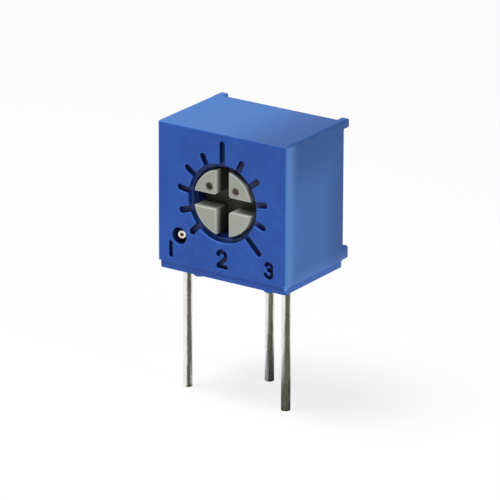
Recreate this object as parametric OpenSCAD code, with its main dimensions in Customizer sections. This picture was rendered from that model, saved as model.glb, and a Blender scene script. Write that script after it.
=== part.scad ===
// Single-turn cube trimmer potentiometer with a side-facing cross-slot rotor.
// Millimetres. The origin is on the axis of the wiper terminal, on the plane of the board.
// +X runs to terminal 3, -Y is the way the dial faces, +Z is up from the board.

/* [Housing] */
// Width of the housing
body_w = 6.6; // [6.5:0.05:8]
// Height of the housing above its underside
body_h = 6.6; // [6.4:0.05:8]
// Depth of the housing from its front face to its back rim
body_d = 4.35; // [4.3:0.05:6]
// Thickness of the side, top and bottom walls
wall_t = 0.5; // [0.4:0.02:0.52]
// Radius of the outer edges
edge_r = 0.12; // [0.05:0.01:0.2]
// Height of the stepped band along the underside
band_h = 0.33; // [0.15:0.01:0.45]
// How far the band steps in at the sides
band_in = 0.08; // [0.03:0.01:0.15]
// How far the band steps in at the front
band_back = 0.05; // [0.02:0.01:0.12]

/* [Standoffs] */
// Height of the feet that keep the housing off the board
foot_h = 0.38; // [0.2:0.01:0.6]
// Diameter of a foot where it meets the board
foot_tip_d = 0.5; // [0.3:0.05:0.7]
// Diameter of a foot where it leaves the housing
foot_root_d = 0.84; // [0.5:0.02:1]
// Distance between the left and right feet
foot_span = 3.6; // [2.5:0.05:3.8]
// Distance of the front feet behind the front face
foot_y = 1; // [0.7:0.05:1.3]
// Distance between the front and rear feet
foot_gap = 2.5; // [2:0.05:2.8]
// Depth of the standoffs on the back rim
stud_d = 0.45; // [0.2:0.01:0.6]
// Width of the back standoffs
stud_w = 0.4; // [0.25:0.01:0.45]
// Height of the upper back standoffs
stud_top_h = 0.4; // [0.25:0.01:0.6]
// Height of the lower back standoffs
stud_low_h = 0.57; // [0.3:0.01:0.8]
// Chamfer on the standoff ends
stud_cut = 0.08; // [0.02:0.01:0.12]

/* [Dial] */
// Height of the rotor axis above the middle of the housing
dial_rise = 0.17; // [0:0.01:0.2]
// Radius of the round recess in the front face
dial_r = 1.76; // [1.7:0.01:1.9]
// Depth of the recess and of its marks
dial_depth = 0.22; // [0.1:0.01:0.3]
// Marks round the dial
mark_count = 11; // [5:2:13]
// Width of a mark
mark_w = 0.3; // [0.15:0.01:0.35]
// Distance from the axis to the tip of a short mark
mark_r = 2.33; // [2.1:0.01:2.5]
// Distance from the axis to the tip of a long mark
long_mark_r = 2.78; // [2.5:0.01:2.95]
// Total turn of the rotor in degrees
turn = 270; // [240:2:280]

/* [Rotor] */
// Radius of the rotor head
head_r = 1.475; // [1.4:0.005:1.5]
// How far the rotor face lies below the front face
face_gap = 0.05; // [0:0.01:0.1]
// Rounded edge of the rotor face
head_edge = 0.05; // [0.02:0.01:0.1]
// Width of the driver slots
slot_w = 0.64; // [0.4:0.01:0.8]
// Depth of the driver slots
slot_depth = 0.9; // [0.6:0.01:0.95]
// Radius of the corners where the slots cross
slot_corner = 0.12; // [0.03:0.01:0.2]
// Diameter of the two dimples in the face
dimple_d = 0.28; // [0.15:0.01:0.4]
// Depth of the dimples
dimple_depth = 0.12; // [0.05:0.01:0.3]
// Sideways distance of a dimple from the axis
dimple_x = 0.67; // [0.6:0.01:0.75]
// Height of the dimples above the axis
dimple_z = 0.65; // [0.6:0.01:0.75]
// Radius of the flange behind the front wall
flange_r = 2.05; // [2:0.01:2.15]
// Thickness of the flange
flange_t = 0.25; // [0.2:0.01:0.3]
// Reach of the stop lug beyond the flange
lug_reach = 0.27; // [0.15:0.01:0.3]
// Half the angle that the stop lug takes up
lug_half = 18; // [10:1:22]

/* [Seal] */
// Thickness of the sealing ring
ring_d = 0.33; // [0.25:0.01:0.36]
// Distance between the slot floors and the sealing ring
ring_back = 0.02; // [0.01:0.01:0.05]
// Depth of the potting resin below the back rim
resin_drop = 0.2; // [0.05:0.01:0.3]

/* [Contact spring] */
// Thickness of the spring strip
spring_t = 0.08; // [0.05:0.01:0.1]
// Height of the contact tips above the flange
spring_h = 0.25; // [0.2:0.01:0.3]
// Radius of the spring plate
spring_r = 2; // [1.97:0.01:2]
// Width of a contact finger
finger_w = 0.1; // [0.06:0.01:0.12]
// Distance between fingers
finger_pitch = 0.15; // [0.13:0.01:0.16]
// Length of a finger
finger_l = 0.6; // [0.4:0.01:0.62]
// Radius of the hole in the middle of the spring
hub_r = 0.45; // [0.42:0.01:0.48]
// Radius of the stakes that hold the spring
stake_r = 0.18; // [0.12:0.01:0.2]
// Distance of the stakes from the axis
stake_x = 1.25; // [1.1:0.01:1.4]
// How far the stake heads reach over the spring
stake_over = 0.1; // [0.05:0.01:0.12]
// Height of the stake heads
stake_head_h = 0.07; // [0.04:0.01:0.1]

/* [Element] */
// Thickness of the ceramic substrate
plate_t = 0.85; // [0.5:0.01:0.9]
// Thickness of the printed layers
film_t = 0.03; // [0.02:0.005:0.05]
// Middle radius of the resistive track
track_r = 1.7; // [1.65:0.01:1.72]
// Width of the resistive track
track_w = 0.5; // [0.4:0.01:0.55]
// How far each end of the track runs past the rotor's travel, in degrees
track_over = 5; // [3:1:8]
// Outer radius of the collector ring
collector_r = 0.95; // [0.85:0.01:1.1]
// Width of the printed strips to the end pads
strip_w = 0.4; // [0.25:0.01:0.42]
// Angle taken up by the film that joins a strip to the track, in degrees
joint_angle = 16; // [12:1:18]
// Width of an end pad
pad_w = 0.76; // [0.5:0.01:0.78]
// Height of an end pad
pad_h = 0.8; // [0.5:0.01:0.82]
// How far the middle of a pad lies inward of its terminal
pad_in = 0.18; // [0.17:0.01:0.25]
// Height of the middle of a pad above the underside
pad_z = 0.98; // [0.96:0.01:1]

/* [Terminals] */
// Distance between terminals 1 and 3
pin_span = 5.08; // [5:0.02:5.1]
// Distance from the front row of terminals back to the wiper terminal
row_gap = 2.54; // [2.3:0.02:2.7]
// Distance of the front row behind the front face
front_row = 1.15; // [1.1:0.01:1.2]
// Length of the terminals below the board plane
pin_len = 5.27; // [3:0.01:8]
// Diameter of the tinned ends
pin_d = 0.41; // [0.36:0.01:0.45]
// Diameter of the wire inside the housing
wire_d = 0.38; // [0.3:0.01:0.4]
// Height above the board plane at which the tin starts to thin out
tin_top = 0.1; // [0:0.01:0.15]
// Length over which the tin thins out
tin_fade = 0.6; // [0.55:0.01:0.8]
// Bend radius of the front terminals
front_bend = 0.35; // [0.25:0.01:0.4]
// Bend radius of the wiper terminal
rear_bend = 0.45; // [0.3:0.01:0.6]
// How far the wiper terminal stands out of the substrate's front
wire_proud = 0.2; // [0.1:0.01:0.25]
// Gap between the hidden end of terminal 3 and the front wall
end_gap = 0.1; // [0.05:0.01:0.2]

/* [Solder] */
// Radius of the solder on an end pad
solder_r = 0.37; // [0.3:0.01:0.38]
// Radius of that solder at the wire
solder_tip_r = 0.25; // [0.22:0.01:0.28]
// Radius of the solder on the collector ring
hub_solder_r = 0.4; // [0.3:0.01:0.42]
// Height of the solder on the collector ring
hub_solder_h = 0.16; // [0.08:0.01:0.18]
// Thickness of that solder round the wire at its top
hub_solder_t = 0.05; // [0.03:0.01:0.1]

/* [Sight hole] */
// Diameter of the hole beside terminal 1
eye_d = 0.76; // [0.7:0.01:0.85]
// Distance of the hole from the middle of the housing
eye_x = 2.2; // [2.16:0.01:2.25]
// Height of the hole above the underside
eye_z = 1.6; // [1.55:0.01:1.65]
// Depth of the wire end in the hole
eye_depth = 0.25; // [0.15:0.01:0.35]
// Thickness of the front wall beside the rotor
front_wall = 0.55; // [0.45:0.01:0.6]
// Room above the wire ends behind that wall
wire_room = 0.2; // [0.1:0.01:0.3]
// Distance of that room's inner side from the middle of the housing
corner_in = 1.25; // [1.2:0.01:1.3]

/* [Fits] */
// Running gap round the rotor head
journal_gap = 0.025; // [0.015:0.005:0.04]
// Wider gap round the head at the mouth of its bore
mouth_gap = 0.125; // [0.08:0.005:0.15]
// Depth of the wider mouth below the recess
mouth_depth = 0.23; // [0.1:0.01:0.3]
// Running gap between other pieces that turn past each other
run_gap = 0.02; // [0.015:0.005:0.03]
// Gap at seats that are glued, soldered or pushed in
seat_gap = 0.01; // [0.005:0.005:0.02]
// Gap between the substrate or its films and the walls
plate_gap = 0.05; // [0.02:0.01:0.08]
// Gap left between the stop lug and the stop, in degrees
stop_gap = 0.5; // [0.2:0.1:1]
// Gap between the turning lug and the pocket wall
pocket_gap = 0.08; // [0.05:0.01:0.1]

/* [Hidden] */
$fn = 96;
eps = 0.01;
weld = 0.1; // overlap of two forms of one moulding
finger_tip = 0.15; // length of a finger beyond its contact line

// Depths behind the front face
slot_floor_y = face_gap + slot_depth;
ring_y = slot_floor_y + ring_back;
flange_y = ring_y + ring_d + run_gap;
spring_y = flange_y + flange_t;
film_y = spring_y + spring_h + run_gap;
plate_y = film_y + film_t;
plate_back_y = plate_y + plate_t;
resin_y = body_d - resin_drop;
rear_row = front_row + row_gap;
stop_depth = flange_t + run_gap + spring_t;

// Radii about the rotor axis
journal_r = head_r + journal_gap;
mouth_r = head_r + mouth_gap;
ring_in_r = head_r + run_gap;
ring_seat_r = ring_in_r + ring_d + seat_gap;
lug_r = flange_r + lug_reach;
pocket_r = lug_r + pocket_gap;
stop_r = flange_r + pocket_gap;

// Angles about the rotor axis
mark_step = turn / (mark_count - 1);
stop_half = 180 - turn / 2 - lug_half - stop_gap;
track_half = turn / 2 + track_over;
pad_half = joint_angle / 2;

// Places in the body
dial_z = body_h / 2 + dial_rise;
cavity_w = body_w - 2 * wall_t;
cavity_h = body_h - 2 * wall_t;
pin_x = pin_span / 2;
pin_r = pin_d / 2;
wire_r = wire_d / 2;
groove_r = pin_r + 2 * seat_gap;
pad_x = pin_x - pad_in;
corner_top = eye_z + wire_r + wire_room;
leg_top = eye_z - front_bend;
lean = atan2(pin_x - eye_x, front_row - eye_depth);
hidden_end_y = front_wall + end_gap;
collector_mid = (hub_solder_r + collector_r) / 2;

module in_body() {
    translate([0, -rear_row, foot_h]) children();
}

// Local z runs back into the body and local -y points up
module on_dial(depth = 0) {
    translate([0, depth, dial_z]) rotate([-90, 0, 0]) children();
}

module mirror_pair() {
    children();
    mirror([1, 0, 0]) children();
}

module round_rect(w, h, r) {
    translate([r, 0]) square([w - 2 * r, h]);
    translate([0, r]) square([w, h - 2 * r]);
    for (x = [r, w - r], y = [r, h - r]) translate([x, y]) circle(r);
}

// A flat ring, or part of one centred on the upward direction
module ring(r_in, r_out) {
    difference() {
        circle(r_out);
        circle(r_in);
    }
}

module wedge(half, reach) {
    polygon([[0, 0], [-reach * tan(half), -reach], [reach * tan(half), -reach]]);
}

module ring_part(r_in, r_out, half) {
    intersection() {
        ring(r_in, r_out);
        wedge(half, 2 * r_out);
    }
}

// A block from the front face back, with its upright, top and front edges rounded
module rounded_block(w, h, d, r) {
    intersection() {
        translate([-w / 2, d, 0]) rotate([90, 0, 0]) linear_extrude(d) round_rect(w, h, r);
        translate([-w / 2, 0, 0]) linear_extrude(h) round_rect(w, d + 2 * r, r);
        translate([-w / 2, 0, 0]) rotate([90, 0, 90]) linear_extrude(w) round_rect(d + 2 * r, h, r);
    }
}

module outer_form() {
    band_w = body_w - 2 * band_in;
    band_d = body_d - band_back;
    difference() {
        rounded_block(body_w, body_h, body_d, edge_r);
        translate([-body_w, -eps, -eps]) cube([2 * body_w, body_d + 2 * eps, band_h + eps]);
    }
    translate([-band_w / 2, band_back, 0]) linear_extrude(band_h + eps) intersection() {
        round_rect(band_w, band_d + 2 * edge_r, edge_r);
        square([band_w, band_d]);
    }
}

module foot() {
    translate([0, 0, -foot_h]) cylinder(h = foot_h + eps, d1 = foot_tip_d, d2 = foot_root_d);
}

module stud(h) {
    rotate([90, 0, 90]) linear_extrude(stud_w)
        polygon([[-eps, 0], [stud_d - stud_cut, 0], [stud_d, stud_cut],
            [stud_d, h - stud_cut], [stud_d - stud_cut, h], [-eps, h]]);
}

module standoffs() {
    for (y = [foot_y, foot_y + foot_gap]) mirror_pair() translate([foot_span / 2, y, 0]) foot();
    mirror_pair() {
        translate([body_w / 2 - stud_w, body_d, body_h - stud_top_h]) stud(stud_top_h);
        translate([body_w / 2 - stud_w, body_d, band_h]) stud(stud_low_h);
    }
}

module mark(tip_r) {
    translate([-mark_w / 2, mark_w / 2 - tip_r]) square([mark_w, tip_r - mark_w / 2]);
    translate([0, mark_w / 2 - tip_r]) circle(d = mark_w);
}

module dial_recess() {
    on_dial(-eps) linear_extrude(dial_depth + eps) {
        circle(dial_r);
        for (i = [0 : mark_count - 1]) {
            is_long = i == (mark_count - 1) / 2 || i == mark_count - 1;
            rotate(i * mark_step - turn / 2) mark(is_long ? long_mark_r : mark_r);
        }
    }
}

// The stepped bore that the rotor and its ring run in, and the pocket for the flange
module rotor_bore() {
    on_dial() {
        cylinder(h = dial_depth + mouth_depth, r = mouth_r);
        cylinder(h = flange_y, r = journal_r);
        translate([0, 0, ring_y - seat_gap]) cylinder(h = flange_y - ring_y, r = ring_seat_r);
        translate([0, 0, flange_y - run_gap])
            cylinder(h = plate_y - flange_y + run_gap + eps, r = pocket_r);
    }
}

// Room for each front terminal and its printed pad, with a relief over the printed strip
module corner_room() {
    translate([corner_in, front_wall, wall_t])
        cube([cavity_w / 2 - corner_in, plate_y - front_wall + eps, corner_top - wall_t]);
    on_dial(film_y - plate_gap) linear_extrude(film_t + plate_gap + eps)
        pad_strip(strip_w + 2 * plate_gap);
}

module groove(y) {
    translate([0, y, -eps]) {
        cylinder(h = wall_t + 2 * eps, r = groove_r);
        translate([-groove_r, 0, 0]) cube([2 * groove_r, body_d - y + eps, wall_t + 2 * eps]);
    }
}

module housing() {
    color("#3a62b0") in_body() {
        difference() {
            union() {
                outer_form();
                standoffs();
            }
            dial_recess();
            rotor_bore();
            mirror_pair() corner_room();
            translate([-cavity_w / 2, plate_y, wall_t]) cube([cavity_w, body_d, cavity_h]);
            translate([-eye_x, 0, eye_z]) rotate([-90, 0, 0])
                translate([0, 0, -eps]) cylinder(h = front_wall + 2 * eps, d = eye_d);
            mirror_pair() translate([pin_x, 0, 0]) groove(front_row);
            groove(rear_row);
        }
        on_dial(flange_y - run_gap - eps) linear_extrude(stop_depth + eps)
            rotate(180) ring_part(stop_r, pocket_r + weld, stop_half);
    }
}

module cross_slot() {
    square([2 * mouth_r, slot_w], center = true);
    square([slot_w, 2 * mouth_r], center = true);
    for (a = [0, 90, 180, 270]) rotate(a) translate([slot_w / 2, slot_w / 2]) difference() {
        square(slot_corner);
        translate([slot_corner, slot_corner]) circle(slot_corner);
    }
}

module rotor() {
    color("#b4b1a0") in_body() on_dial() {
        difference() {
            rotate_extrude() polygon([
                [0, face_gap], [head_r - head_edge, face_gap], [head_r, face_gap + head_edge],
                [head_r, flange_y], [flange_r, flange_y], [flange_r, spring_y], [0, spring_y]]);
            translate([0, 0, face_gap - eps]) linear_extrude(slot_depth + eps) cross_slot();
            mirror_pair() translate([dimple_x, -dimple_z, face_gap - eps])
                cylinder(h = dimple_depth + eps, d = dimple_d);
        }
        translate([0, 0, flange_y]) linear_extrude(flange_t)
            ring_part(flange_r - weld, lug_r, lug_half);
        mirror_pair() translate([stake_x, 0, spring_y - eps]) {
            cylinder(h = spring_t + eps, r = stake_r);
            translate([0, 0, spring_t + eps])
                cylinder(h = stake_head_h, r1 = stake_r + stake_over, r2 = stake_r + stake_over / 2);
        }
    }
}

module o_ring() {
    color("#9c3b2a") in_body() on_dial(ring_y + ring_d / 2)
        rotate_extrude() translate([ring_in_r + ring_d / 2, 0]) circle(d = ring_d, $fn = 48);
}

// One bent finger that touches the film at the given radius, above the axis
module finger(r) {
    tip = finger_tip;
    translate([0, finger_w / 2 - r, 0]) rotate([90, 0, 0]) linear_extrude(finger_w)
        polygon([[-finger_l - weld, 0], [-finger_l, 0], [0, spring_h - spring_t],
            [tip, spring_h - 2 * spring_t], [tip, spring_h - spring_t], [0, spring_h],
            [-finger_l, spring_t], [-finger_l - weld, spring_t]]);
}

module fingers(r, count) {
    for (i = [0 : count - 1]) finger(r + (i - (count - 1) / 2) * finger_pitch);
}

// The opening that a row of fingers is cut from, between two distances above the axis
module finger_window(low, high) {
    translate([-finger_l, -high]) square([finger_l + 2 * finger_tip, high - low]);
}

module contact_spring() {
    row_half = finger_pitch + finger_w;
    color("#c9b27a") in_body() on_dial(spring_y) {
        linear_extrude(spring_t) difference() {
            ring(hub_r, spring_r);
            finger_window(track_r - row_half, spring_r);
            rotate(180) finger_window(hub_r - finger_w / 2, collector_mid + row_half - finger_w / 2);
            mirror_pair() translate([stake_x, 0]) circle(stake_r + seat_gap);
        }
        fingers(track_r, 3);
        rotate(180) fingers(collector_mid, 2);
    }
}

module substrate() {
    w = cavity_w - 2 * plate_gap;
    h = cavity_h - 2 * plate_gap;
    color("#e9e6dc") in_body() difference() {
        translate([-w / 2, plate_y, wall_t + plate_gap]) cube([w, plate_t, h]);
        on_dial(plate_y - eps) cylinder(h = plate_t + 2 * eps, r = wire_r + 2 * seat_gap);
    }
}

module resistive_track() {
    color("#35353a") in_body() on_dial(film_y) linear_extrude(film_t) difference() {
        ring(track_r - track_w / 2, track_r + track_w / 2);
        rotate(180) wedge(180 - track_half, 3 * track_r);
    }
}

module collector_ring() {
    color("#c8c6be") in_body() on_dial(film_y) linear_extrude(film_t)
        ring(wire_r + 4 * seat_gap, collector_r);
}

// A straight printed strip between two points
module strip(from, to, w) {
    run = to - from;
    translate(from) rotate(atan2(run.y, run.x)) translate([0, -w / 2]) square([norm(run), w]);
}

// The strip from the end of the track to the end pad
module pad_strip(w) {
    start = track_half + 1.5 * pad_half;
    strip([track_r * sin(start), -track_r * cos(start)], [pad_x, dial_z - pad_z], w);
}

module end_pad() {
    in_body() on_dial(film_y) linear_extrude(film_t) {
        rotate(track_half + pad_half)
            ring_part(track_r - track_w / 2, track_r + track_w / 2, pad_half);
        pad_strip(strip_w);
        translate([pad_x, dial_z - pad_z]) square([pad_w, pad_h], center = true);
    }
}

module end_pad_1() {
    color("#c8c6be") mirror([1, 0, 0]) end_pad();
}

module end_pad_3() {
    color("#c8c6be") end_pad();
}

// The leg of a terminal, from its cut end up to the given height, or the room for it
module leg(top, gap = 0) {
    $fn = 48;
    tin_end = tin_top + tin_fade;
    translate([0, 0, -pin_len]) cylinder(h = pin_len + tin_top, r = pin_r + gap);
    translate([0, 0, tin_top]) cylinder(h = tin_fade, r1 = pin_r + gap, r2 = wire_r + gap);
    translate([0, 0, tin_end]) cylinder(h = top - tin_end, r = wire_r + gap);
}

// A quarter bend from upright to facing -Y, with the straight end after it
module bent_end(bend_r, run, gap = 0) {
    $fn = 48;
    translate([0, -bend_r, 0]) rotate([90, 0, 90])
        rotate_extrude(angle = 90) translate([bend_r, 0]) circle(wire_r + gap);
    translate([0, -bend_r, bend_r]) rotate([90, 0, 0]) cylinder(h = run - bend_r, r = wire_r + gap);
}

// The right-hand wire of the front row, whose end stops at the given depth
module front_wire(end_y) {
    top = foot_h + leg_top;
    translate([pin_x, -row_gap, 0]) {
        leg(top);
        translate([0, 0, top]) rotate(-lean) bent_end(front_bend, (front_row - end_y) / cos(lean));
    }
}

module rear_wire(gap = 0) {
    top = foot_h + dial_z - rear_bend;
    leg(top, gap);
    translate([0, 0, top]) bent_end(rear_bend, rear_row - film_y + wire_proud, gap);
}

module terminal_1() {
    color("#a9a79d") mirror([1, 0, 0]) front_wire(eye_depth);
}

module terminal_2() {
    color("#a9a79d") rear_wire();
}

module terminal_3() {
    color("#a9a79d") front_wire(hidden_end_y);
}

// Solder between a front terminal and its pad
module end_solder() {
    in_body() difference() {
        translate([pad_x, film_y, pad_z]) rotate([90, 0, 0])
            cylinder(h = film_y - front_row + wire_r / 2, r1 = solder_r, r2 = solder_tip_r);
        translate([pin_x, front_row, 0]) cylinder(h = eye_z, r = wire_r + seat_gap, $fn = 48);
    }
}

module solder_1() {
    color("#b9b9b4") mirror([1, 0, 0]) end_solder();
}

module solder_3() {
    color("#b9b9b4") end_solder();
}

module solder_2() {
    color("#b9b9b4") in_body() on_dial(film_y - hub_solder_h) difference() {
        cylinder(h = hub_solder_h, r1 = wire_r + hub_solder_t, r2 = hub_solder_r);
        translate([0, 0, -eps]) cylinder(h = hub_solder_h + 2 * eps, r = wire_r + seat_gap, $fn = 48);
    }
}

// Resin in the groove that a terminal comes out through
module resin_tongue(y) {
    translate([-groove_r, y, 0]) cube([2 * groove_r, resin_y - y, wall_t + eps]);
}

module resin_seal() {
    color("#b59a6c") difference() {
        in_body() {
            translate([-cavity_w / 2, plate_back_y, wall_t])
                cube([cavity_w, resin_y - plate_back_y, cavity_h]);
            mirror_pair() translate([pin_x, 0, 0]) resin_tongue(front_row);
            resin_tongue(rear_row);
        }
        mirror_pair() translate([pin_x, -row_gap, 0]) leg(foot_h + leg_top, seat_gap);
        rear_wire(seat_gap);
    }
}

housing();
rotor();
o_ring();
contact_spring();
substrate();
resistive_track();
collector_ring();
end_pad_1();
end_pad_3();
terminal_1();
terminal_2();
terminal_3();
solder_1();
solder_2();
solder_3();
resin_seal();
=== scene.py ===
import math

import bmesh
import bpy
from mathutils import Matrix, Vector, noise


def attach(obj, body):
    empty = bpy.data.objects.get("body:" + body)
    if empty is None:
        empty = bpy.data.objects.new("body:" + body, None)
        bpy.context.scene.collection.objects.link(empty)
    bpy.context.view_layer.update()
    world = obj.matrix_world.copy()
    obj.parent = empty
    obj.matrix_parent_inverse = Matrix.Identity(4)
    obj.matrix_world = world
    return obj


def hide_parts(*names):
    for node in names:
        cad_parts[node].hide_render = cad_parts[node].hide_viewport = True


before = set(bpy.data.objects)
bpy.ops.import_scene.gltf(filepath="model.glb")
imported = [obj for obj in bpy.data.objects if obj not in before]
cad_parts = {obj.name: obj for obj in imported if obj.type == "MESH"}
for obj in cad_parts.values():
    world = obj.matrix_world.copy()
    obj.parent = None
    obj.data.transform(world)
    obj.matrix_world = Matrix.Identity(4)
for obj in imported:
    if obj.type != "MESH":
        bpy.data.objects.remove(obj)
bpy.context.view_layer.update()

# Sizes are in millimetres. The moulded pieces are laid out from the front face back and from
# the underside of the housing up, and the wires from the board plane.
MM = 0.001

# Housing
WIDTH, DEPTH, HEIGHT = 6.6, 4.35, 6.6
WALL = 0.5
INSIDE = WIDTH / 2 - WALL
EDGE = 0.12
BAND_H, BAND_IN, BAND_BACK = 0.33, 0.08, 0.05
FOOT_H, FOOT_X, FOOT_ROWS = 0.38, 1.8, (1, 3.5)
FOOT_R, FOOT_ROOT_R = 0.25, 0.447
STUD_W, STUD_OUT, STUD_TOP_H, STUD_LOW_Z = 0.4, 0.45, 0.4, 0.9
EYE, EYE_R, EYE_BACK = (-2.2, 1.6), 0.38, 0.57
ROOM_X, ROOM_Y, ROOM_TOP = 1.25, 0.55, 1.99

# Dial and bore: radii, and the depths at which they begin or end
DIAL_Z, DIAL_R, RECESS = 3.47, 1.76, 0.22
MARKS, MARK_PITCH, MARK_W = 11, 27, 0.3
MARK_TIP, LONG_TIP, LONG_MARKS = 2.33, 2.78, (5, 10)
NUMERAL_DEPTH = 0.2
MOUTH_R, MOUTH_BACK = 1.6, 0.45
JOURNAL_R = 1.5
SEAT_R, SEAT_Y = 1.835, 0.96
POCKET_R, POCKET_Y = 2.4, 1.3

# Rotor
HEAD_R, HEAD_Y = 1.475, 0.05
SLOT_HALF, SLOT_FLOOR = 0.32, 0.95
FLANGE_R, FLANGE_Y, FLANGE_BACK = 2.05, 1.32, 1.57
DIMPLE_X, DIMPLE_UP, DIMPLE_R, DIMPLE_FLOOR = 0.67, 0.65, 0.14, 0.17
STAKE_X, STAKE_R = 1.25, 0.18

# Stop and lug: inner and outer radius, front and back, middle and half sweep in degrees
STOP = (2.13, 2.5, 1.29, 1.65, 180, 26.5)
LUG = (1.95, 2.32, FLANGE_Y, FLANGE_BACK, 0, 18)

# Plate, resin and wires
PLATE_Y, PLATE_BACK = 1.87, 2.72
RESIN_Y = 4.15
REAR_ROW, FRONT_ROW, PIN_X = 3.69, 1.15, 2.54
WIRE_SPOTS = ((-PIN_X, FRONT_ROW), (PIN_X, FRONT_ROW), (0, REAR_ROW))
GROOVE_R = 0.225
WIRE_R, TIN = 0.19, 0.015
TIP_Z, END_LIFT = -5.27, 0.016
FRONT_BEND, REAR_BEND = 0.35, 0.45

# Softened rims, the overlap of a cutter before a face, and the distance at which points merge
RIM = 0.04
RIM_STEPS = (0, 0.25, 0.6, 1)
OVER = 0.05
WELD = 2e-4
FROM_BODY = Matrix.Scale(MM, 4) @ Matrix.Translation((0, -REAR_ROW, FOOT_H))
FROM_BOARD = Matrix.Scale(MM, 4)


# Shapes

def block(low, high):
    """A closed block between two corners"""
    low, high = Vector(low), Vector(high)
    bm = bmesh.new()
    place = Matrix.Translation((low + high) / 2) @ Matrix.Diagonal((*(high - low), 1))
    bmesh.ops.create_cube(bm, size=1, matrix=place)
    return bm


def bevel(bm, edges, width, segments=3):
    bmesh.ops.bevel(bm, geom=edges, offset=width, offset_type="OFFSET", affect="EDGES",
                    segments=segments, profile=0.5, material=-1, clamp_overlap=False)


def round_edges(bm, radius, chosen, segments=5):
    """Rounds the edges whose middle and direction pass a test"""
    edges = []
    for edge in bm.edges:
        a, b = (v.co for v in edge.verts)
        if chosen((a + b) / 2, (b - a).normalized()):
            edges.append(edge)
    bevel(bm, edges, radius, segments)
    return bm


def rod(x, z, y0, y1, radius, segments=48):
    """A round bar that runs back from the front"""
    bm = bmesh.new()
    place = Matrix.Translation((x, (y0 + y1) / 2, z)) @ Matrix.Rotation(-math.pi / 2, 4, "X")
    bmesh.ops.create_cone(bm, cap_ends=True, segments=segments, radius1=radius,
                          radius2=radius, depth=y1 - y0, matrix=place)
    return bm


def cone(x, y, z0, z1, r0, r1, segments=48):
    """An upright cone"""
    bm = bmesh.new()
    bmesh.ops.create_cone(bm, cap_ends=True, segments=segments, radius1=r0, radius2=r1,
                          depth=z1 - z0, matrix=Matrix.Translation((x, y, (z0 + z1) / 2)))
    return bm


def turned(profile, x=0, z=DIAL_Z, segments=128):
    """A closed shape spun about an axis to the front from points of radius and depth"""
    bm = bmesh.new()
    verts = [bm.verts.new((r, y, 0)) for r, y in profile]
    edges = [bm.edges.new(pair) for pair in zip(verts, verts[1:])]
    bmesh.ops.spin(bm, geom=verts + edges, cent=(0, 0, 0), axis=(0, 1, 0),
                   angle=2 * math.pi, steps=segments, use_merge=True, use_duplicate=False)
    bmesh.ops.remove_doubles(bm, verts=bm.verts, dist=1e-5)
    bmesh.ops.recalc_face_normals(bm, faces=bm.faces)
    bmesh.ops.translate(bm, verts=bm.verts, vec=(x, 0, z))
    return bm


def flare(depth, rim=RIM):
    """How much wider a hole is at a depth below its softened rim"""
    left = rim - min(max(depth, 0), rim)
    return rim - math.sqrt(rim ** 2 - left ** 2)


def mouth(radius, face=0):
    """The softened rim of a round hole in a face"""
    return [(radius + flare(RIM * part), face + RIM * part) for part in RIM_STEPS]


def hole(radius, depth, face=0):
    """The outline of a round hole in a face"""
    before = face - OVER
    return [(0, before), (radius + RIM, before), *mouth(radius, face), (radius, depth), (0, depth)]


def sector(r_in, r_out, y0, y1, middle, half, steps=24):
    """Part of a ring about the rotor axis, with its middle at an angle clockwise from the top"""
    bm = bmesh.new()
    verts = [bm.verts.new(p) for p in ((0, y0, r_in), (0, y0, r_out), (0, y1, r_out), (0, y1, r_in))]
    face = bm.faces.new(verts)
    bmesh.ops.rotate(bm, verts=verts, cent=(0, 0, 0),
                     matrix=Matrix.Rotation(math.radians(middle - half), 3, "Y"))
    bmesh.ops.spin(bm, geom=[face, *face.edges, *verts], cent=(0, 0, 0), axis=(0, 1, 0),
                   angle=math.radians(2 * half), steps=steps, use_merge=False, use_duplicate=False)
    bmesh.ops.recalc_face_normals(bm, faces=bm.faces)
    bmesh.ops.translate(bm, verts=bm.verts, vec=(0, 0, DIAL_Z))
    return bm


def arc(cx, cz, radius, start, end, steps=16):
    """Points along an arc, with angles counted from +X towards the top"""
    angles = [math.radians(start + (end - start) * i / steps) for i in range(steps + 1)]
    return [(cx + radius * math.cos(a), cz + radius * math.sin(a)) for a in angles]


def outward(bm):
    """Turns all faces of a closed shape outwards"""
    bmesh.ops.recalc_face_normals(bm, faces=bm.faces)
    if bm.calc_volume(signed=True) < 0:
        bmesh.ops.reverse_faces(bm, faces=bm.faces)
    return bm


def draw_along(bm, places):
    """Draws a ring out through the places of a list, and closes both ends"""
    edges = bm.edges[:]
    for before, after in zip(places, places[1:]):
        made = bmesh.ops.extrude_edge_only(bm, edges=edges)["geom"]
        fresh = [g for g in made if isinstance(g, bmesh.types.BMVert)]
        bmesh.ops.transform(bm, matrix=after @ before.inverted(), verts=fresh)
        edges = [g for g in made if isinstance(g, bmesh.types.BMEdge) and g.is_boundary]
    return bmesh.ops.holes_fill(bm, edges=[e for e in bm.edges if e.is_boundary], sides=0)["faces"]


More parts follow.
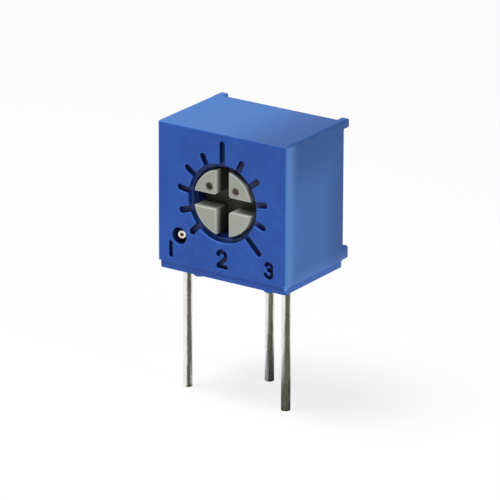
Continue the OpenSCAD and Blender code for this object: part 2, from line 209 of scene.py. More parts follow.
def stroke(path, width, depth, rim=RIM, cuts=24, ends=12):
    """A cutter of even width and round ends along points on the front face"""
    points = [Vector((x, 0, z)) for x, z in path]
    lengths = [0]
    for a, b in zip(points, points[1:]):
        lengths.append(lengths[-1] + (b - a).length)
    total = lengths[-1]
    bm = bmesh.new()
    turn = Matrix.Rotation(math.pi / 2, 4, "X") @ Matrix.Rotation(math.pi / ends, 4, "Z")
    bmesh.ops.create_circle(bm, cap_ends=False, segments=ends, radius=width / 2, matrix=turn)
    # Half of the circle moves to the other end, and the two edges between the halves are divided
    right_half = [v for v in bm.verts if v.co.x > 0]
    bmesh.ops.translate(bm, verts=right_half, vec=(total, 0, 0))
    joining = [e for e in bm.edges if e.verts[0].co.x * e.verts[1].co.x < 0]
    bmesh.ops.subdivide_edges(bm, edges=joining, cuts=cuts)
    bmesh.ops.translate(bm, verts=bm.verts, vec=(0, -OVER, 0))
    levels = (-OVER, *(rim * part for part in RIM_STEPS), depth)
    draw_along(bm, [Matrix.Translation((0, y, 0)) for y in levels])
    for v in bm.verts:
        s = min(max(v.co.x, 0), total)
        grow = 1 + flare(v.co.y, rim) * 2 / width
        beyond, off = (v.co.x - s) * grow, v.co.z * grow
        i = max(k for k in range(len(points) - 1) if lengths[k] <= s + 1e-9)
        a, b = points[i], points[i + 1]
        along = (b - a).normalized()
        # The direction is blended between neighbouring points, so that the sides stay smooth
        before = (a - points[i - 1]).normalized() if i else along
        after = (points[i + 2] - b).normalized() if i + 2 < len(points) else along
        t = (s - lengths[i]) / (lengths[i + 1] - lengths[i])
        tangent = ((before + along) * (1 - t) + (along + after) * t).normalized()
        side = Vector((-tangent.z, 0, tangent.x))
        spot = a.lerp(b, t) + side * off + tangent * beyond
        v.co.x, v.co.z = spot.x, spot.z
    return outward(bm)


def new_object(bm, name):
    mesh = bpy.data.meshes.new(name)
    bm.to_mesh(mesh)
    bm.free()
    obj = bpy.data.objects.new(name, mesh)
    bpy.context.scene.collection.objects.link(obj)
    return obj


def settle(obj):
    """Makes the modifiers part of the mesh"""
    shape = obj.evaluated_get(bpy.context.evaluated_depsgraph_get())
    mesh = bpy.data.meshes.new_from_object(shape)
    obj.modifiers.clear()
    old, obj.data = obj.data, mesh
    bpy.data.meshes.remove(old)
    obj.data.name = obj.name


def combine(bm, name, joined=(), cut=(), joined_last=()):
    """Unites a shape with others and carves it"""
    obj = new_object(bm, name)
    tools = []
    for shapes, operation in ((joined, "UNION"), (cut, "DIFFERENCE"), (joined_last, "UNION")):
        for shape in shapes:
            for v in shape.verts:
                v.co = [round(c, 5) for c in v.co]
            tool = new_object(shape, "tool")
            tools.append(tool)
            step = obj.modifiers.new(operation, "BOOLEAN")
            step.operation, step.object, step.solver = operation, tool, "EXACT"
    settle(obj)
    for tool in tools:
        mesh = tool.data
        bpy.data.objects.remove(tool)
        bpy.data.meshes.remove(mesh)
    bm = bmesh.new()
    bm.from_mesh(obj.data)
    bmesh.ops.remove_doubles(bm, verts=bm.verts, dist=WELD)
    return obj, bm


def finish_piece(obj, bm, place, body, slot, *nodes, weighted=True):
    """Shades a piece, sets it into the frame and lets it stand for its CAD nodes"""
    bm.to_mesh(obj.data)
    bm.free()
    obj.data.shade_smooth()
    obj.data.set_sharp_from_angle(angle=math.radians(46))
    if weighted:
        step = obj.modifiers.new("flat faces", "WEIGHTED_NORMAL")
        step.keep_sharp = True
        step.weight = 80
        settle(obj)
    obj.data.transform(place)
    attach(obj, body)
    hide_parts(*nodes)
    return obj


# Housing

def mark_cutter(angle, tip):
    """One radial mark of the dial, from inside the recess to its round tip"""
    bm = stroke([(0, 1.4), (0, tip - MARK_W / 2)], MARK_W, RECESS, cuts=1, ends=24)
    bmesh.ops.rotate(bm, verts=bm.verts, cent=(0, 0, 0),
                     matrix=Matrix.Rotation(math.radians(angle), 3, "Y"))
    bmesh.ops.translate(bm, verts=bm.verts, vec=(0, 0, DIAL_Z))
    return bm


def groove_cutter(x, y):
    """The way in for a wire, open to the back"""
    bm = block((x - GROOVE_R, y - GROOVE_R, -OVER), (x + GROOVE_R, DEPTH + OVER, WALL + 0.02))
    return round_edges(bm, GROOVE_R - 0.0005, lambda p, d: p.y < y and abs(d.z) > 0.9, 10)


def stud(side, z0, z1):
    """A standoff on a corner of the back rim"""
    x0, x1 = sorted((side * WIDTH / 2, side * (WIDTH / 2 - STUD_W)))
    bm = block((x0, DEPTH - 0.2, z0), (x1, DEPTH + STUD_OUT, z1))
    return round_edges(bm, 0.09, lambda p, d: p.y > DEPTH, 4)


def flash_bump():
    """A small bump of flash on the right front corner of the band"""
    bm = bmesh.new()
    place = Matrix.Translation((3.2, 0.085, 0.29)) @ Matrix.Diagonal((0.07, 0.075, 0.13, 1))
    bmesh.ops.create_uvsphere(bm, u_segments=24, v_segments=16, radius=1, matrix=place)
    return bm


def housing_shell():
    """The outside of the housing: the body, and what is united with it"""
    body = block((-WIDTH / 2, 0, BAND_H), (WIDTH / 2, DEPTH, HEIGHT))
    # The front's edges but the lowest, and the top's edges but the rear one
    round_edges(body, EDGE, lambda p, d: (p.y < 0.001 and p.z > BAND_H + 0.01)
                or (p.z > HEIGHT - 0.001 and p.y < DEPTH - 0.1))
    round_edges(body, 0.02, lambda p, d: p.z < BAND_H + 0.001, 3)
    round_edges(body, 0.025, lambda p, d: p.y > DEPTH - 0.001 and p.z > BAND_H + 0.03, 3)
    band = block((-WIDTH / 2 + BAND_IN, BAND_BACK, 0), (WIDTH / 2 - BAND_IN, DEPTH, WALL))
    round_edges(band, EDGE, lambda p, d: p.y < BAND_BACK + 0.01 and abs(d.z) > 0.9)
    round_edges(band, 0.03, lambda p, d: p.z < 0.001, 3)
    joined = [band]
    for x in (-FOOT_X, FOOT_X):
        for y in FOOT_ROWS:
            foot = cone(x, y, -FOOT_H, 0.06, FOOT_R, FOOT_ROOT_R)
            joined.append(round_edges(foot, 0.05, lambda p, d: p.z < -FOOT_H + 0.001, 3))
    heights = ((HEIGHT - STUD_TOP_H, HEIGHT), (BAND_H, STUD_LOW_Z))
    joined += [stud(side, *ends) for side in (-1, 1) for ends in heights]
    return body, [*joined, flash_bump()]


def make_housing():
    body, joined = housing_shell()
    behind = PLATE_Y + 0.01
    cut = [turned(hole(DIAL_R, RECESS))]
    first = -MARK_PITCH * (MARKS - 1) / 2
    cut += [mark_cutter(first + MARK_PITCH * i, LONG_TIP if i in LONG_MARKS else MARK_TIP)
            for i in range(MARKS)]
    # The bore steps in to the journal, out to the ring seat and out again to the flange's pocket
    cut += [turned([(0, 0.1), (MOUTH_R + RIM, 0.1), *mouth(MOUTH_R, RECESS), (MOUTH_R, MOUTH_BACK),
                    (JOURNAL_R, MOUTH_BACK), (JOURNAL_R, SEAT_Y), (SEAT_R, SEAT_Y), (SEAT_R, POCKET_Y),
                    (POCKET_R, POCKET_Y), (POCKET_R, behind), (0, behind)])]
    # Rooms for the front wires, and the cavity for the plate and the resin
    cut += [block((min(a, b), ROOM_Y, WALL), (max(a, b), behind, ROOM_TOP))
            for a, b in ((ROOM_X, INSIDE), (-ROOM_X, -INSIDE))]
    cut += [block((-INSIDE, PLATE_Y, WALL), (INSIDE, DEPTH + 0.1, HEIGHT - WALL))]
    cut += [turned(hole(EYE_R, EYE_BACK), *EYE, 48)]
    cut += [groove_cutter(x, y) for x, y in WIRE_SPOTS]
    cut += numerals()
    obj, bm = combine(body, "housing_moulding", joined, cut, [sector(*STOP)])
    return finish_piece(obj, bm, FROM_BODY, "fixed", "housing_plastic", "housing")


def numerals():
    """The numbers of the three terminals, sunk into the front face"""
    one = [[(-2.64, 0.66), (-2.64, 1.22)]]
    two = [arc(-0.01, 1.13, 0.2, 165, -35) + [(-0.2, 0.68)], [(-0.21, 0.655), (0.2, 0.655)]]
    three = [arc(2.39, 1.115, 0.15, 160, -95), arc(2.38, 0.825, 0.175, 95, -160)]
    cutters = [stroke(path, 0.22, NUMERAL_DEPTH, 0.03) for path in one + two]
    cutters += [stroke(path, 0.19, NUMERAL_DEPTH, 0.022) for path in three]
    return cutters


# Rotor

def quarter(turns):
    """A quarter of the head, between two slots"""
    start = math.asin(SLOT_HALF / HEAD_R)
    bm = bmesh.new()
    first = bm.verts.new((SLOT_HALF, HEAD_Y, HEAD_R * math.cos(start)))
    last = bmesh.ops.spin(bm, geom=[first], cent=(0, 0, 0), axis=(0, 1, 0),
                          angle=math.pi / 2 - 2 * start, steps=24, use_merge=False,
                          use_duplicate=False)["geom_last"][0]
    corner = bm.verts.new((SLOT_HALF, HEAD_Y, SLOT_HALF))
    bm.edges.new((corner, first))
    bm.edges.new((last, corner))
    bmesh.ops.contextual_create(bm, geom=bm.edges[:])
    made = bmesh.ops.extrude_face_region(bm, geom=bm.faces[:])["geom"]
    back = [g for g in made if isinstance(g, bmesh.types.BMVert)]
    bmesh.ops.translate(bm, verts=back, vec=(0, 1.05, 0))
    bmesh.ops.recalc_face_normals(bm, faces=bm.faces)
    inner = SLOT_HALF + 0.01
    round_edges(bm, 0.12, lambda p, d: abs(d.y) > 0.9 and p.x < inner and p.z < inner, 4)
    round_edges(bm, 0.045, lambda p, d: p.y < HEAD_Y + 0.001)
    bmesh.ops.rotate(bm, verts=bm.verts, cent=(0, 0, 0),
                     matrix=Matrix.Rotation(math.pi / 2 * turns, 3, "Y"))
    bmesh.ops.translate(bm, verts=bm.verts, vec=(0, 0, DIAL_Z))
    return bm


def make_rotor():
    # The drum is a hair narrower than the quarters, so that no two faces lie in one surface
    drum = HEAD_R - 0.001
    body = turned([(0, SLOT_FLOOR), (drum, SLOT_FLOOR), (drum, FLANGE_Y), (FLANGE_R, FLANGE_Y),
                   (FLANGE_R, FLANGE_BACK), (0, FLANGE_BACK)])
    joined = [sector(*LUG), *(quarter(i) for i in range(4))]
    stakes = [rod(x, DIAL_Z, 1.5, 1.65, STAKE_R) for x in (-STAKE_X, STAKE_X)]
    dimples = [turned(hole(DIMPLE_R, DIMPLE_FLOOR, HEAD_Y), x, DIAL_Z + DIMPLE_UP, 32)
               for x in (-DIMPLE_X, DIMPLE_X)]
    obj, bm = combine(body, "rotor_moulding", joined, dimples, stakes)
    return finish_piece(obj, bm, FROM_BODY, "rotor", "rotor_plastic", "rotor")


# Wires

def make_wire(name, x, y, top, bend, heading, run, core):
    """A bent wire from its cut end below the board to its inner end, with uneven tin on it"""
    start = TIP_Z + END_LIFT
    count = int((top - start) / 0.12)
    stations = [(Vector((x, y, start + (top - start) * i / count)), Matrix.Identity(4))
                for i in range(count + 1)]
    out = Matrix.Rotation(heading, 4, "Z")
    for i in range(1, 9):
        a = math.pi / 2 * i / 8
        spot = Vector((x, y, top)) + out @ Vector((0, -bend * (1 - math.cos(a)), bend * math.sin(a)))
        stations.append((spot, out @ Matrix.Rotation(a, 4, "X") @ out.inverted()))
    spot, facing = stations[-1]
    for i in (1, 2, 3):
        stations.append((spot + out @ Vector((0, -(run - bend - 0.01) * i / 3, 0)), facing))

    def girth(spot):
        tinned = min(max((0.7 - spot.z) / 0.6, 0), 1)
        uneven = 1 - 0.035 * abs(noise.noise(spot * 1.3 + Vector((x * 7, 3, 1))))
        return (WIRE_R + TIN * tinned) * uneven

    def place(spot, turn, scale=1.0, lift=0.0):
        lifted = Matrix.Translation(spot) @ turn @ Matrix.Translation((0, 0, lift))
        return lifted @ Matrix.Scale(girth(spot) * scale, 4)

    # Each end has a broken edge, a ring of tin and the copper core
    cut_end = ((0.94, 0.012), (0.86, END_LIFT), (core, END_LIFT), (core * 0.9, 0.012))
    placed = [place(*stations[0], scale, -lift) for scale, lift in reversed(cut_end)]
    placed += [place(*station) for station in stations]
    placed += [place(*stations[-1], scale, lift) for scale, lift in cut_end]
    bm = bmesh.new()
    bmesh.ops.create_circle(bm, cap_ends=False, segments=32, radius=1, matrix=placed[0])
    caps = draw_along(bm, placed)
    for face in {f for cap in caps for edge in cap.edges for f in edge.link_faces}:
        face.material_index = 1
    bmesh.ops.recalc_face_normals(bm, faces=bm.faces)
    obj = new_object(bmesh.new(), "wire_" + name)
    return finish_piece(obj, bm, FROM_BOARD, "fixed", "tinned_wire", name, weighted=False)


# Resin

def make_resin():
    body = block((-INSIDE, PLATE_BACK, WALL), (INSIDE, RESIN_Y, HEIGHT - WALL))
    back = [e for e in body.edges if all(v.co.y > RESIN_Y - 0.001 for v in e.verts)]
    bmesh.ops.subdivide_edges(body, edges=back, cuts=70, use_grid_fill=True)
    # The face climbs a little at the walls and is uneven between them
    for v in body.verts:
        if v.co.y > RESIN_Y - 0.001:
            wall = min(INSIDE - abs(v.co.x), v.co.z - WALL, HEIGHT - WALL - v.co.z)
            dip = 0.02 * noise.noise(Vector((v.co.x * 0.5, 0, v.co.z * 0.5)))
            v.co.y += 0.09 * math.exp(-max(wall, 0) / 0.16) - 0.012 + dip * min(wall, 1)
    half = GROOVE_R - 0.001
    joined = [block((x - half, y, 0.004), (x + half, RESIN_Y - 0.02, WALL + 0.1)) for x, y in WIRE_SPOTS]
    obj, bm = combine(body, "resin_back", joined)
    return finish_piece(obj, bm, FROM_BODY, "fixed", "potting_resin", "resin_seal")


# Materials

class Link:
    """A socket that takes part in arithmetic: each sum adds its Math node"""

    def __init__(self, paint, socket):
        self.paint, self.socket = paint, socket

    def math(self, operation, a, b=0.0):
        return self.paint.node("ShaderNodeMath", {"operation": operation}, {0: a, 1: b})

    def __add__(self, other):
        return self.math("ADD", self, other)

    def __sub__(self, other):
        return self.math("SUBTRACT", self, other)

    def __rsub__(self, other):
        return self.math("SUBTRACT", other, self)

    def __mul__(self, other):
        return self.math("MULTIPLY", self, other)

    def __truediv__(self, other):
        return self.math("DIVIDE", self, other)

    def __pow__(self, other):
        return self.math("POWER", self, other)

    def __abs__(self):
        return self.math("ABSOLUTE", self)

    __radd__, __rmul__ = __add__, __mul__

    def lower(self, other):
        return self.math("MINIMUM", self, other)

    def higher(self, other):
        return self.math("MAXIMUM", self, other)

    def ramp(self, low, high):
        """0 at low and below, 1 at high and above, smooth between"""
        return self.paint.node("ShaderNodeMapRange", {"interpolation_type": "SMOOTHSTEP"},
                               {"Value": self, "From Min": low, "From Max": high})


class Paint:
    """The nodes of one material, on Object coordinates"""

    def __init__(self, name):
        self.material = bpy.data.materials.new(name)
        self.material.use_nodes = True
        self.tree = self.material.node_tree
        self.tree.nodes.clear()
        self.coords = self.node("ShaderNodeTexCoord", out="Object")
        apart = self.node("ShaderNodeSeparateXYZ", {}, {0: self.coords}, out=None)
        self.x, self.y, self.z = (Link(self, s) / MM for s in apart.outputs)

    def node(self, kind, settings=None, inputs=None, out=0):
        """Adds a node, sets it up, links its sockets and gives one output, or the node itself"""
        node = self.tree.nodes.new(kind)
        for key, value in (settings or {}).items():
            setattr(node, key, value)
        for key, value in (inputs or {}).items():
            if isinstance(value, Link):
                self.tree.links.new(value.socket, node.inputs[key])
            else:
                node.inputs[key].default_value = value
        return node if out is None else Link(self, node.outputs[out])

    def noise(self, per_mm, detail=2.0, rough=0.5, stretch=(1, 1, 1)):
        spot = self.coords
        if stretch != (1, 1, 1):
            spot = self.node("ShaderNodeMapping", {}, {"Vector": spot, "Scale": stretch})
        return self.node("ShaderNodeTexNoise", {}, {"Vector": spot, "Scale": per_mm / MM,
                                                    "Detail": detail, "Roughness": rough})

    def mix(self, amount, a, b):
        """Two colours mixed by an amount"""
        a, b = ((*c, 1) if isinstance(c, tuple) else c for c in (a, b))
        return self.node("ShaderNodeMix", {"data_type": "RGBA", "clamp_factor": True},
                         {0: amount, 6: a, 7: b}, out=2)

    def spot(self, x, y, z, radius, soft=0.5):
        """1 inside a ball of that radius, 0 outside"""
        gap = self.node("ShaderNodeVectorMath", {"operation": "DISTANCE"},
                        {0: self.coords, 1: (x * MM, y * MM, z * MM)}, out="Value") / MM
        return 1 - gap.ramp(radius * (1 - soft), radius)

    def surface(self, color, rough, metallic=0.0, *, bump, strength, distance, **fixed):
        """The finish itself, with its relief and its fixed values"""
        relief = self.node("ShaderNodeBump", {}, {"Height": bump, "Strength": strength,
                                                  "Distance": distance * MM})
        inputs = {"Base Color": color, "Roughness": rough, "Metallic": metallic, "Normal": relief}
        inputs.update({key.replace("_", " "): value for key, value in fixed.items()})
        shader = self.node("ShaderNodeBsdfPrincipled", {}, inputs)
        self.node("ShaderNodeOutputMaterial", {}, {"Surface": shader}, out=None)
        return self.material


def blue_moulding():
    p = Paint("blue moulding")
    depth, height = p.y + REAR_ROW, p.z - FOOT_H
    top, sides = (height - 6.5).ramp(0, 0.08), (abs(p.x) - 3.2).ramp(0, 0.06)
    # The front between its side edges and above its lower edge, with what is sunk into it
    front = (3.1 - abs(p.x)).ramp(0, 0.1) * (height - 0.42).ramp(0, 0.06)
    cloud = p.noise(0.55, 3.0, 0.6)
    grain = p.noise(14, 2.0, 0.6)
    flow = p.noise(2.2, 2.0, 0.5, (1, 0.35, 1))
    color = p.mix(cloud.ramp(0.3, 0.7), (0.008, 0.076, 0.41), (0.013, 0.096, 0.475))
    # Painted light: the top and the sides are paler than the front
    color = p.mix(top.higher(sides) * 0.5, color, (0.05, 0.185, 0.385))
    color = p.mix(flow.ramp(0.45, 0.75) * 0.2, color, (0.04, 0.14, 0.47))
    # Painted shade: marks, numerals, recess and bore are darker, and more so further out and deeper in
    sunk = front * (6.45 - height).ramp(0, 0.06) * depth.ramp(0.03, 0.16) * (1.2 - depth).ramp(0, 0.2)
    from_axis = (p.x * p.x + (height - DIAL_Z) ** 2) ** 0.5
    sunk_shade = 0.72 + (from_axis - 1.8).ramp(0, 0.05) * 0.16 + depth.ramp(0.25, 0.55) * 0.1
    color = p.mix(sunk * sunk_shade, color, (0.004, 0.012, 0.065))
    # Painted highlight: their rims are pale
    rim_highlight = front * (6.4 - height).ramp(0, 0.06) * depth.ramp(0.002, 0.01) * (0.05 - depth).ramp(0, 0.02)
    color = p.mix(rim_highlight * 0.4, color, (0.09, 0.24, 0.66))
    # Painted shade: the sides are darker towards the top and the back
    dull_and_shade = (height.ramp(3.5, 6.2) * 0.65).higher(depth.ramp(2.4, 4.2) * 0.6)
    color = p.mix(sides * dull_and_shade, color, (0.012, 0.06, 0.24))
    # Painted light: the sides are paler beside the front edge and at the foot. The top is darker towards
    # the right
    side_highlight = (0.9 - depth).ramp(0, 0.8).higher((0.9 - height).ramp(0, 0.7) * 0.5)
    color = p.mix(side_highlight * sides * 0.75, color, (0.10, 0.26, 0.65))
    color = p.mix(top * p.x.ramp(-0.8, 3.1) * 0.95, color, (0.008, 0.06, 0.24))
    # Painted highlight: the bump of flash is pale
    color = p.mix(p.spot(3.22, 0.06 - REAR_ROW, 0.3 + FOOT_H, 0.17) * 0.6, color, (0.13, 0.32, 0.78))
    # A small dark speck on the top
    color = p.mix(p.spot(2.05, 2.2 - REAR_ROW, HEIGHT + FOOT_H, 0.1) * 0.6, color, (0.01, 0.03, 0.09))
    rough = 0.42 + grain * 0.1 + cloud * 0.06
    return p.surface(color, rough, bump=grain * 0.6 + flow * 0.4, strength=0.25, distance=0.012,
                     Specular_IOR_Level=0.36)


def grey_moulding():
    p = Paint("grey moulding")
    depth = p.y + REAR_ROW
    across, up = abs(p.x), abs(p.z - DIAL_Z - FOOT_H)
    cloud = p.noise(0.9, 3.0, 0.6)
    grain = p.noise(16, 2.0, 0.6)
    color = p.mix(cloud.ramp(0.3, 0.7), (0.37, 0.385, 0.335), (0.42, 0.435, 0.38))
    # Painted shade: the slots darken towards their floors, and the upright one sooner
    upright = (up - across).ramp(-0.02, 0.02)
    slot_shade = (depth.ramp(0.55, SLOT_FLOOR) * 0.93).higher(upright * depth.ramp(0.09, 0.5) * 0.93)
    color = p.mix(slot_shade, color, (0.028, 0.027, 0.020))
    # Painted highlight: the rims of the slots and of the head are pale
    reach = (across * across + up * up) ** 0.5
    flat = (across.lower(up) - 0.36).ramp(0.0, 0.05).lower(1 - (reach - 1.38).ramp(0, 0.05))
    color = p.mix((1 - flat) * (0.13 - depth).ramp(0, 0.03) * 0.45, color, (0.58, 0.59, 0.54))
    # Painted shade: the dimples are darkened, in brown
    for x, amount, dimple_shade in ((-DIMPLE_X, 0.85, (0.05, 0.046, 0.03)),
                               (DIMPLE_X, 0.75, (0.11, 0.07, 0.045))):
        dimple = p.spot(x, 0.12 - REAR_ROW, DIAL_Z + DIMPLE_UP + FOOT_H, 0.24, 0.35)
        color = p.mix(dimple * amount, color, dimple_shade)
    return p.surface(color, 0.5 + grain * 0.12, bump=grain + cloud * 0.5, strength=0.2, distance=0.012,
                     Specular_IOR_Level=0.4)


def tinned_copper():
    p = Paint("tinned copper")
    drawn = p.noise(9, 3.0, 0.6, (1, 1, 0.12))
    lumps = p.noise(1.4, 2.0, 0.5, (1, 1, 0.5))
    dull_and_shade = p.noise(3.0, 3.0, 0.6, (1, 1, 0.25))
    color = p.mix(dull_and_shade.ramp(0.35, 0.7), (0.78, 0.77, 0.71), (0.92, 0.91, 0.87))
    color = p.mix(drawn.ramp(0.58, 0.78) * 0.5, color, (0.24, 0.23, 0.18))
    return p.surface(color, 0.2 + dull_and_shade * 0.16, 1.0, bump=drawn * 0.7 + lumps, strength=0.55,
                     distance=0.035)


def bare_copper():
    p = Paint("bare copper")
    grain = p.noise(22, 2.0, 0.6)
    color = p.mix(grain.ramp(0.3, 0.7), (0.16, 0.03, 0.012), (0.3, 0.07, 0.03))
    return p.surface(color, 0.4 + grain * 0.15, 0.85, bump=grain, strength=0.3, distance=0.01)


def amber_resin():
    p = Paint("poured resin")
    cloud = p.noise(0.8, 3.0, 0.6)
    dust = p.noise(9, 2.0, 0.5)
    color = p.mix(cloud.ramp(0.3, 0.7), (0.36, 0.25, 0.11), (0.50, 0.37, 0.18))
    color = p.mix(dust.ramp(0.62, 0.75) * 0.3, color, (0.25, 0.16, 0.07))
    return p.surface(color, 0.22 + dust * 0.1, bump=cloud + dust * 0.15, strength=0.15, distance=0.03,
                     Coat_Weight=0.3)


def soft_red():
    p = Paint("soft rubber")
    grain = p.noise(12, 2.0, 0.5)
    color = p.mix(grain.ramp(0.3, 0.7), (0.26, 0.045, 0.025), (0.36, 0.07, 0.04))
    return p.surface(color, 0.6 + grain * 0.1, bump=grain, strength=0.2, distance=0.01)


def spring_strip():
    p = Paint("spring strip")
    rolled = p.noise(8, 2.0, 0.5, (0.15, 1, 1))
    color = p.mix(rolled.ramp(0.3, 0.7), (0.56, 0.45, 0.24), (0.68, 0.57, 0.34))
    return p.surface(color, 0.28 + rolled * 0.12, 1.0, bump=rolled, strength=0.15, distance=0.01)


def fired_ceramic():
    p = Paint("fired ceramic")
    grain = p.noise(10, 3.0, 0.6)
    color = p.mix(grain.ramp(0.3, 0.7), (0.76, 0.73, 0.66), (0.84, 0.82, 0.77))
    return p.surface(color, 0.6 + grain * 0.12, bump=grain, strength=0.2, distance=0.01)


def dark_film():
    p = Paint("fired dark film")
    grain = p.noise(18, 2.0, 0.6)
    color = p.mix(grain.ramp(0.3, 0.7), (0.022, 0.022, 0.026), (0.05, 0.05, 0.056))
    return p.surface(color, 0.4 + grain * 0.15, bump=grain, strength=0.2, distance=0.008)


def silver_film():
    p = Paint("fired silver film")
    grain = p.noise(18, 2.0, 0.6)
    color = p.mix(grain.ramp(0.3, 0.7), (0.55, 0.54, 0.49), (0.68, 0.67, 0.63))
    return p.surface(color, 0.36 + grain * 0.15, 0.9, bump=grain, strength=0.2, distance=0.008)


def soft_solder():
    p = Paint("soft solder")
    lumps = p.noise(3, 2.0, 0.5)
    color = p.mix(lumps.ramp(0.3, 0.7), (0.46, 0.46, 0.45), (0.62, 0.62, 0.61))
    return p.surface(color, 0.22 + lumps * 0.14, 1.0, bump=lumps, strength=0.2, distance=0.02)


def dress(obj, *materials):
    slots = obj.data.materials
    for i, material in enumerate(materials):
        if i < len(slots):
            slots[i] = material
        else:
            slots.append(material)


# Build

housing = make_housing()
rotor = make_rotor()
# The front wires lean in as they come forward. The first ends in the sight hole, and the third
# ends further back, inside the housing.
front_y = FRONT_ROW - REAR_ROW
front_top = FOOT_H + 1.25
eye_end, blind_end, film_y = 0.25, 0.65, 1.84
lean = math.atan2(PIN_X + EYE[0], FRONT_ROW - eye_end)
wires = [make_wire("terminal_1", -PIN_X, front_y, front_top, FRONT_BEND, lean,
                   (FRONT_ROW - eye_end) / math.cos(lean), 0.42),
         make_wire("terminal_2", 0, 0, FOOT_H + DIAL_Z - REAR_BEND, REAR_BEND, 0,
                   REAR_ROW - film_y + 0.2, 0.8),
         make_wire("terminal_3", PIN_X, front_y, front_top, FRONT_BEND, -lean,
                   (FRONT_ROW - blind_end) / math.cos(lean), 0.8)]
resin = make_resin()

dress(housing, blue_moulding())
dress(rotor, grey_moulding())
tin, copper = tinned_copper(), bare_copper()
for wire in wires:
    dress(wire, tin, copper)
dress(resin, amber_resin())
silver, solder = silver_film(), soft_solder()
hidden = {"o_ring": soft_red(), "contact_spring": spring_strip(), "substrate": fired_ceramic(),
          "resistive_track": dark_film(), "collector_ring": silver, "end_pad_1": silver,
          "end_pad_3": silver, "solder_1": solder, "solder_2": solder, "solder_3": solder}
for name, material in hidden.items():
    dress(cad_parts[name], material)


# Studio

def plain(name, color, strength=None):
    """A stage material; with a strength, it shows that colour to the camera and in reflections"""
    p = Paint(name)
    base = p.node("ShaderNodeBsdfDiffuse", {}, {"Color": (*color, 1)})
    if strength is not None:
        ray = p.node("ShaderNodeLightPath", out=None)
        seen = Link(p, ray.outputs["Is Camera Ray"]) * strength
        glow = p.node("ShaderNodeEmission", {}, {"Color": (1, 1, 1, 1), "Strength": 1.0})
        base = p.node("ShaderNodeMixShader", {}, {0: seen, 1: base, 2: glow})
        below = Link(p, p.node("ShaderNodeNewGeometry", out=None).outputs["Backfacing"])
        clear = p.node("ShaderNodeBsdfTransparent")
        base = p.node("ShaderNodeMixShader", {}, {0: below, 1: base, 2: clear})
    p.node("ShaderNodeOutputMaterial", {}, {"Surface": base}, out=None)
    return p.material


sheet = bmesh.new()
bmesh.ops.create_grid(sheet, x_segments=1, y_segments=1, size=1.5,
                      matrix=Matrix.Translation((0, 0, TIP_Z * MM)))
floor = new_object(sheet, "floor")
dress(floor, plain("white floor", (0.86, 0.86, 0.86), 0.8))

# Dark sectors of floor to the right, a wide one that rises to a screen and one at each wire, which
# only reflections see: without them the wires would show nothing but white. Each has an apex, an
# inner and an outer radius in millimetres, a sweep in degrees and perhaps the height of the screen.
dark = plain("dark screen", (0.085, 0.085, 0.062))
dark_z, dark_start = TIP_Z + 0.01, 12
dark_sectors = (((0, -1), 4, 60, 108, 20), ((-PIN_X, front_y), 0.1, 8, 84), ((0, 0), 0.1, 4, 150),
                ((PIN_X, front_y), 0.1, 8, 60))


def dark_sector(name, apex, near, reach, sweep, top=None):
    bm = bmesh.new()
    line = [bm.verts.new((0, -r, dark_z)) for r in (near, reach)]
    if top:
        line.append(bm.verts.new((0, -reach, top)))
    edges = [bm.edges.new(pair) for pair in zip(line, line[1:])]
    bmesh.ops.rotate(bm, verts=line, cent=(0, 0, 0),
                     matrix=Matrix.Rotation(math.radians(dark_start), 3, "Z"))
    bmesh.ops.spin(bm, geom=[*line, *edges], cent=(0, 0, 0), axis=(0, 0, 1),
                   angle=math.radians(sweep), steps=24, use_merge=False, use_duplicate=False)
    bmesh.ops.transform(bm, matrix=Matrix.Scale(MM, 4) @ Matrix.Translation((*apex, 0)),
                        verts=bm.verts)
    obj = new_object(bm, name)
    dress(obj, dark)
    for ray in ("camera", "diffuse", "shadow", "transmission"):
        setattr(obj, "visible_" + ray, False)
    return obj


for i, sizes in enumerate(dark_sectors):
    dark_sector(f"dark_sector_{i}", *sizes)


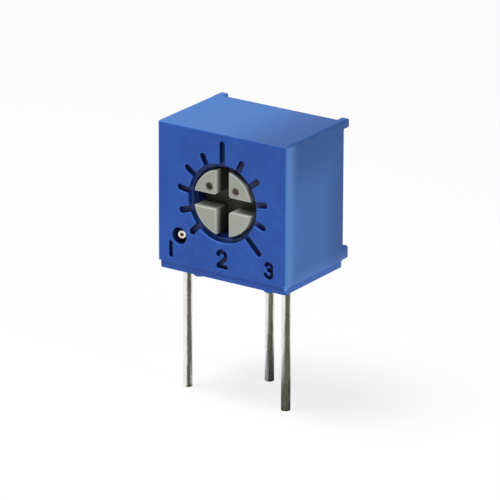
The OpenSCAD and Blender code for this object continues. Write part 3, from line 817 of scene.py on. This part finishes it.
def softbox(name, place, aim, size, power):
    lamp = bpy.data.lights.new(name, "AREA")
    lamp.shape, lamp.size, lamp.energy = "DISK", size, power
    obj = bpy.data.objects.new(name, lamp)
    bpy.context.scene.collection.objects.link(obj)
    way = Vector(aim) - Vector(place)
    obj.matrix_world = Matrix.Translation(place) @ way.to_track_quat("-Z", "Y").to_matrix().to_4x4()
    return obj


softbox("overhead", (-0.04, -0.029, 0.152), (0, -0.001, 0.002), 0.08, 0.265)
softbox("right", (0.155, -0.04, 0.065), (0, -0.001, 0.002), 0.08, 0.125)

world = bpy.data.worlds.new("studio")
bpy.context.scene.world = world
world.use_nodes = True
nodes, links = world.node_tree.nodes, world.node_tree.links
nodes.clear()
ray = nodes.new("ShaderNodeLightPath")
seen = nodes.new("ShaderNodeMath")
seen.operation = "MAXIMUM"
links.new(ray.outputs["Is Camera Ray"], seen.inputs[0])
links.new(ray.outputs["Is Glossy Ray"], seen.inputs[1])
level = nodes.new("ShaderNodeMapRange")
level.inputs["To Min"].default_value = 0.15
level.inputs["To Max"].default_value = 1.0
links.new(seen.outputs[0], level.inputs["Value"])
sky = nodes.new("ShaderNodeBackground")
links.new(level.outputs[0], sky.inputs["Strength"])
links.new(sky.outputs[0], nodes.new("ShaderNodeOutputWorld").inputs["Surface"])

# Camera: from the corners of the housing in the photograph
azimuth, elevation, roll = (math.radians(a) for a in (34.055, 19.514, 0.187))
forward = Vector((-math.sin(azimuth) * math.cos(elevation),
                  math.cos(azimuth) * math.cos(elevation), -math.sin(elevation)))
right = Vector((math.cos(azimuth), math.sin(azimuth), 0))
up = right.cross(forward)
distance, shift_right, shift_up = 214.681, -0.162, -1.223
aim = Vector((0, 2.44 - REAR_ROW, 2 + FOOT_H))
stand = aim - forward * distance + right * shift_right + up * shift_up
right, up = right * math.cos(roll) + up * math.sin(roll), up * math.cos(roll) - right * math.sin(roll)
lens = bpy.data.cameras.new("camera")
lens.sensor_width, lens.lens = 36, 362.37
lens.clip_start, lens.clip_end = 0.001, 10
camera = bpy.data.objects.new("camera", lens)
bpy.context.scene.collection.objects.link(camera)
camera.matrix_world = Matrix.Translation(stand * MM) @ Matrix((right, up, -forward)).transposed().to_4x4()
bpy.context.scene.camera = camera
bpy.context.scene.view_settings.view_transform = "Standard"

bpy.context.view_layer.update()
